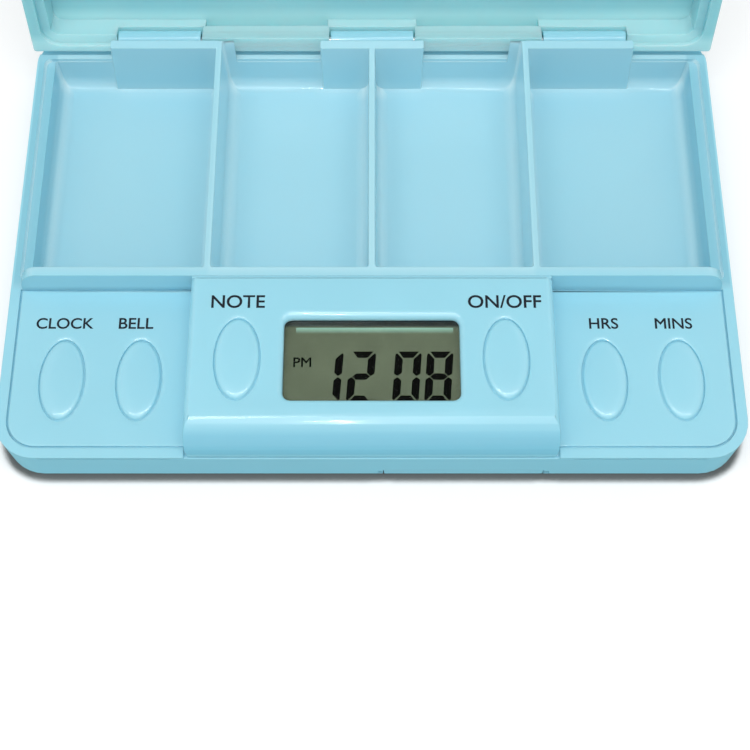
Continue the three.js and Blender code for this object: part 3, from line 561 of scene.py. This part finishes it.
def write(name, words, middle, foot, height, surface, material):
    """Words of thin ink, placed by their middle and their foot, and as high as their capitals."""
    curve = bpy.data.curves.new(name, "FONT")
    curve.body = words
    curve.align_x = "CENTER"
    curve.extrude = HALF_DEPTH_SHARE
    holder = bpy.data.objects.new(name, curve)
    bpy.context.scene.collection.objects.link(holder)
    bpy.context.view_layer.update()
    shown = holder.evaluated_get(bpy.context.evaluated_depsgraph_get())
    mesh = bpy.data.meshes.new_from_object(shown)
    bpy.data.objects.remove(holder)
    widen_strokes(mesh)
    points = [vertex.co for vertex in mesh.vertices]
    low = min(point.y for point in points)
    high = max(point.y for point in points)
    left = min(point.x for point in points)
    right = max(point.x for point in points)
    scale = height / (high - low)
    for vertex in mesh.vertices:
        vertex.co = Vector((
            middle + (vertex.co.x - (left + right) / 2.0) * scale * LETTER_STRETCH,
            foot + (vertex.co.y - low) * scale,
            surface + vertex.co.z * INK_HEIGHT,
        ))
    add_piece(name, mesh, "case", "dark_component", material)


def write_label(name, words, button, shift):
    """A word behind its button, on the console or on a wing."""
    low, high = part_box(button)
    middle = (low.x + high.x) / 2.0 + shift
    if high.z > CONSOLE_TOP:
        write(name, words, middle, high.y + CONSOLE_LETTER_GAP, CONSOLE_LETTERS, CONSOLE_TOP, INK)
    else:
        write(name, words, middle, high.y + WING_LETTER_GAP, WING_LETTERS, WING_TOP, INK)


# The display: digits of seven slanted segments, and a small sign beside them
DIGITS = "1208"
DIGIT_PLACES = (-6.6 * MM, -1.62 * MM, 5.38 * MM, 10.25 * MM)
DIGIT_MIDDLE = -25.9 * MM
DIGIT_WIDTH = 4.05 * MM
DIGIT_HEIGHT = 8.3 * MM
DIGIT_STROKE = 1.2 * MM
DIGIT_GAP = 0.11 * MM
DIGIT_SLANT = 0.075
SEGMENTS = {"1": "bc", "2": "abged", "0": "abcdef", "8": "abcdefg"}
SIGN_MIDDLE, SIGN_FOOT, SIGN_LETTERS = -10.64 * MM, -24.33 * MM, 1.6 * MM

# Shares of a segment's stroke, and of half the gap between segments
BAR_SHARE = 0.88
BAR_END_SHARE = 0.3
POST_TOP_SHARE = 0.45
POST_FOOT_SHARE = 0.42
POST_CUT_SHARES = (0.2, 0.22)
TIP_GAP_SHARE = 1.4


def segment_outline(letter):
    """The corners of one segment, round the middle of an upright digit."""
    half_width, half_height, stroke = DIGIT_WIDTH / 2.0, DIGIT_HEIGHT / 2.0, DIGIT_STROKE
    bar = stroke * BAR_SHARE
    gap = DIGIT_GAP / 2.0
    tip_gap = gap * TIP_GAP_SHARE
    if letter in "ad":
        outer, inner = half_width - gap * 2.0 - stroke * BAR_END_SHARE, half_width - stroke - gap
        corners = [
            (-outer, half_height), (outer, half_height),
            (inner, half_height - bar), (-inner, half_height - bar),
        ]
        return corners if letter == "a" else [(x, -y) for x, y in reversed(corners)]
    if letter == "g":
        tip, inner = half_width - stroke / 2.0 - tip_gap, half_width - stroke - gap
        return [
            (-tip, 0.0), (-inner, bar / 2.0), (inner, bar / 2.0),
            (tip, 0.0), (inner, -bar / 2.0), (-inner, -bar / 2.0),
        ]
    across, down = POST_CUT_SHARES
    corners = [
        (half_width, half_height - stroke * POST_TOP_SHARE),
        (half_width - stroke * across, half_height - stroke * down),
        (half_width - stroke, half_height - stroke - tip_gap),
        (half_width - stroke, stroke / 2.0 + gap),
        (half_width - stroke / 2.0, tip_gap),
        (half_width, stroke * POST_FOOT_SHARE),
    ]
    if letter in "fe":
        corners = [(-x, y) for x, y in reversed(corners)]
    if letter in "ce":
        corners = [(x, -y) for x, y in reversed(corners)]
    return corners


def make_digit(name, figure, middle, surface):
    form = bmesh.new()
    for letter in SEGMENTS[figure]:
        outline = [(middle + x + y * DIGIT_SLANT, DIGIT_MIDDLE + y) for x, y in segment_outline(letter)]
        foot_ring = [form.verts.new((x, y, surface)) for x, y in outline]
        top_ring = [form.verts.new((x, y, surface + INK_HEIGHT)) for x, y in outline]
        form.faces.new(foot_ring)
        form.faces.new(reversed(top_ring))
        for corner in range(len(outline)):
            after = (corner + 1) % len(outline)
            form.faces.new((foot_ring[after], foot_ring[corner], top_ring[corner], top_ring[after]))
    bmesh.ops.recalc_face_normals(form, faces=form.faces)
    mesh = bpy.data.meshes.new(name)
    form.to_mesh(mesh)
    form.free()
    add_piece(name, mesh, "case", "dark_component", DIGIT)


def make_painted_reflection():
    """A thin sheet on the display's far edge that shows a painted reflection, as a paler strip."""
    low = (REFLECTION_LEFT, REFLECTION_FRONT, GLASS_TOP)
    high = (REFLECTION_RIGHT, REFLECTION_BACK, GLASS_TOP + INK_HEIGHT)
    form = bmesh.new()
    bmesh.ops.create_cube(form, size=1.0)
    for vertex in form.verts:
        vertex.co = Vector([
            (first + last) / 2.0 + place * (last - first)
            for place, first, last in zip(vertex.co, low, high)
        ])
    mesh = bpy.data.meshes.new("display_reflection_sheet")
    form.to_mesh(mesh)
    form.free()
    add_piece("display_reflection_sheet", mesh, "case", "display_glass", REFLECTION_LOOK)


# Ledges just under the panel's outline, so that its gaps are shallow lines
PANEL_GAP = 0.3 * MM
BAY_WALL = 1.6 * MM
BAY_HALF = PANEL_HIGH.x + PANEL_GAP
BAY_FRONT = CASE_LOW.y + BAY_WALL
BAY_BACK = PANEL_HIGH.y + PANEL_GAP
BAY_CORNER = 4.7 * MM
CONSOLE_SIDE = 28.6 * MM
CONSOLE_SEAM_HALF = 28.0 * MM
SEAM_INSIDE, SEAM_OUTSIDE = 0.4 * MM, 0.05 * MM
SEAM_FOOT = 0.9 * MM
SIDE_DROP, CORNER_DROP, FRONT_DROP, CONSOLE_DROP = 0.5 * MM, 0.6 * MM, 0.3 * MM, 0.15 * MM
CORNER_STEPS = 16


def add_ledge(name, stations, top):
    """A ledge along a line. Each station is a place, the way out of the panel there, and the drop."""
    rings = []
    for x, y, out_x, out_y, drop in stations:
        section = (
            (-SEAM_INSIDE, SEAM_FOOT), (SEAM_OUTSIDE, SEAM_FOOT), (SEAM_OUTSIDE, drop), (-SEAM_INSIDE, drop),
        )
        rings.append([Vector((x + out_x * off, y + out_y * off, top - fall)) for off, fall in section])
    mesh = loft(name, rings)
    form = bmesh.new()
    form.from_mesh(mesh)
    bmesh.ops.recalc_face_normals(form, faces=form.faces)
    form.to_mesh(mesh)
    form.free()
    mesh.shade_flat()
    add_piece(name, mesh, "case", "case_plastic")


def wing_stations(side):
    """From the console along the back, down the side and round the corner, and back along the front."""
    stations = [
        (side * CONSOLE_SIDE, BAY_BACK, 0.0, 1.0, FRONT_DROP),
        (side * BAY_HALF, BAY_BACK, side, 1.0, SIDE_DROP),
    ]
    for step in range(CORNER_STEPS + 1):
        turn = math.pi / 2.0 * step / CORNER_STEPS
        out_x, out_y = side * math.cos(turn), -math.sin(turn)
        x = side * (BAY_HALF - BAY_CORNER) + BAY_CORNER * out_x
        y = BAY_FRONT + BAY_CORNER + BAY_CORNER * out_y
        drop = SIDE_DROP + (CORNER_DROP - SIDE_DROP) * math.sin(turn * 2.0)
        stations.append((x, y, out_x, out_y, drop))
    stations.append((side * CONSOLE_SIDE, BAY_FRONT, 0.0, -1.0, FRONT_DROP))
    return stations


for node, name, body, edge_width in OWN_FORMS:
    own_form(node, name, body, edge_width)
for node in sorted(frame["nodes"]):
    if node.endswith("_button"):
        make_button(node)

for name, (words, button, shift) in LABELS.items():
    write_label(name, words, button, shift)

INK_ON_GLASS = GLASS_TOP + INK_HEIGHT
for number, (figure, middle) in enumerate(zip(DIGITS, DIGIT_PLACES), start=1):
    make_digit("digit_%d" % number, figure, middle, INK_ON_GLASS)
write("label_pm", "PM", SIGN_MIDDLE, SIGN_FOOT, SIGN_LETTERS, INK_ON_GLASS, DIGIT)
# Painted reflection on the display's far edge
make_painted_reflection()

add_ledge("seam_left", wing_stations(-1), WING_TOP)
add_ledge("seam_right", wing_stations(1), WING_TOP)
console_stations = [(end * CONSOLE_SEAM_HALF, BAY_BACK, 0.0, 1.0, CONSOLE_DROP) for end in (-1, 1)]
add_ledge("seam_console", console_stations, CONSOLE_TOP)


# Camera: it stands straight in front of the box and looks steeply down
CAMERA_DOWN = math.radians(68.0)
CAMERA_PLACE = Vector((0.5 * MM, -98.9 * MM, 192.4 * MM))
CAMERA_NEAR, CAMERA_FAR = 0.01, 10.0
SENSOR_WIDTH = 36.0
PHOTO_WIDTH_PIXELS = 750.0
FOCAL_PIXELS = 1282.0
FOCAL_SHARE = FOCAL_PIXELS / PHOTO_WIDTH_PIXELS

# Lamps: a long soft one overhead, and a small one whose glints show on the buttons
OVERHEAD_PLACE, OVERHEAD_AIM = (0.0, -0.054, 0.8), (0.0, -0.03, 0.0)
OVERHEAD_SIZE, OVERHEAD_POWER = (0.9, 0.06), 2.3
GLINT_PLACE, GLINT_AIM = (-0.026, -0.16, 0.5), (0.0, 0.0, 0.0)
GLINT_SIZE, GLINT_POWER = (0.025, 0.012), 0.3

# An even white surrounding with a dim patch high behind the box, which the display mirrors
WHITE = (1.0, 1.0, 1.0, 1.0)
SKY = 0.7
DIM_SHARE = 0.95
PATCH_LEAN = math.radians(22.0)
PATCH_RIM = math.radians(26.0)
PATCH_CORE = math.radians(14.0)

# The floor looks white, and throws less light back at the box than it shows. It has a painted contact shadow
# at the box's foot.
FLOOR_REACH = 3.0
FLOOR_DROP = 0.02 * MM
FLOOR_ROUGHNESS = 0.9
FLOOR_GLOW = 0.26
FLOOR_BOUNCE = (0.3, 0.56, 0.62, 1.0)
CONTACT_REACH = 2.4 * MM
CONTACT_SAMPLES = 12
# Colours of the painted contact shadow on the floor
CONTACT_DARK, CONTACT_DARK_SHARE = (0.094, 0.101, 0.1, 1.0), 0.74
CONTACT_PALE, CONTACT_PALE_SHARE = (0.84, 0.84, 0.84, 1.0), 0.87


def make_camera():
    data = bpy.data.cameras.new("camera")
    data.sensor_width = SENSOR_WIDTH
    data.lens = SENSOR_WIDTH * FOCAL_SHARE
    data.clip_start = CAMERA_NEAR
    data.clip_end = CAMERA_FAR
    camera = bpy.data.objects.new("camera", data)
    camera.location = CAMERA_PLACE
    camera.rotation_euler = (math.pi / 2.0 - CAMERA_DOWN, 0.0, 0.0)
    bpy.context.scene.collection.objects.link(camera)
    bpy.context.scene.camera = camera


def area_light(name, place, aim, size, power):
    data = bpy.data.lights.new(name, "AREA")
    data.shape = "RECTANGLE"
    data.size, data.size_y = size
    data.energy = power
    light = bpy.data.objects.new(name, data)
    light.location = place
    light.rotation_euler = (Vector(aim) - Vector(place)).to_track_quat("-Z", "Y").to_euler()
    bpy.context.scene.collection.objects.link(light)


def make_world():
    world = bpy.data.worlds.new("world")
    bpy.context.scene.world = world
    world.use_nodes = True
    nodes, links = world.node_tree.nodes, world.node_tree.links
    direction = nodes.new("ShaderNodeTexCoord")
    towards = nodes.new("ShaderNodeVectorMath")
    towards.operation = "DOT_PRODUCT"
    towards.inputs[1].default_value = (0.0, math.sin(PATCH_LEAN), math.cos(PATCH_LEAN))
    patch = nodes.new("ShaderNodeMapRange")
    patch.interpolation_type = "SMOOTHSTEP"
    patch.inputs["From Min"].default_value = math.cos(PATCH_RIM)
    patch.inputs["From Max"].default_value = math.cos(PATCH_CORE)
    patch.inputs["To Min"].default_value = SKY
    patch.inputs["To Max"].default_value = SKY * (1.0 - DIM_SHARE)
    path = nodes.new("ShaderNodeLightPath")
    shown = nodes.new("ShaderNodeMath")
    shown.operation = "MAXIMUM"
    links.new(direction.outputs["Generated"], towards.inputs[0])
    links.new(towards.outputs["Value"], patch.inputs["Value"])
    links.new(patch.outputs["Result"], shown.inputs[0])
    links.new(path.outputs["Is Camera Ray"], shown.inputs[1])
    links.new(shown.outputs["Value"], nodes["Background"].inputs["Strength"])
    nodes["Background"].inputs["Color"].default_value = WHITE


def floor_look():
    material, tree, shader = new_material("floor")
    path = tree.nodes.new("ShaderNodeLightPath")
    tone = tree.nodes.new("ShaderNodeMix")
    tone.data_type = "RGBA"
    tone.inputs[MIX_FIRST].default_value = FLOOR_BOUNCE
    contact = tree.nodes.new("ShaderNodeAmbientOcclusion")
    contact.samples = CONTACT_SAMPLES
    contact.inputs["Distance"].default_value = CONTACT_REACH
    # Painted contact shadow: the floor's colour darkens where the box's foot closes it in.
    shade = tree.nodes.new("ShaderNodeValToRGB")
    dark, pale = shade.color_ramp.elements
    dark.position, dark.color = CONTACT_DARK_SHARE, CONTACT_DARK
    pale.position, pale.color = CONTACT_PALE_SHARE, CONTACT_PALE
    glow = tree.nodes.new("ShaderNodeMath")
    glow.operation = "MULTIPLY"
    glow.inputs[1].default_value = FLOOR_GLOW
    tree.links.new(contact.outputs["AO"], shade.inputs["Fac"])
    tree.links.new(path.outputs["Is Camera Ray"], tone.inputs["Factor"])
    tree.links.new(shade.outputs["Color"], tone.inputs[MIX_SECOND])
    tree.links.new(tone.outputs[MIX_RESULT], shader.inputs["Base Color"])
    tree.links.new(path.outputs["Is Camera Ray"], glow.inputs[0])
    tree.links.new(glow.outputs["Value"], shader.inputs["Emission Strength"])
    tree.links.new(shade.outputs["Color"], shader.inputs["Emission Color"])
    shader.inputs["Roughness"].default_value = FLOOR_ROUGHNESS
    return material


def make_floor():
    corners = [
        (-FLOOR_REACH, -FLOOR_REACH, 0.0), (FLOOR_REACH, -FLOOR_REACH, 0.0),
        (FLOOR_REACH, FLOOR_REACH, 0.0), (-FLOOR_REACH, FLOOR_REACH, 0.0),
    ]
    mesh = bpy.data.meshes.new("floor")
    mesh.from_pydata(corners, [], [(0, 1, 2, 3)])
    mesh.materials.append(floor_look())
    floor = bpy.data.objects.new("floor", mesh)
    floor.location.z = -FLOOR_DROP
    bpy.context.scene.collection.objects.link(floor)


make_camera()
area_light("overhead", OVERHEAD_PLACE, OVERHEAD_AIM, OVERHEAD_SIZE, OVERHEAD_POWER)
area_light("glint", GLINT_PLACE, GLINT_AIM, GLINT_SIZE, GLINT_POWER)
make_world()
make_floor()
bpy.context.scene.view_settings.view_transform = "Standard"
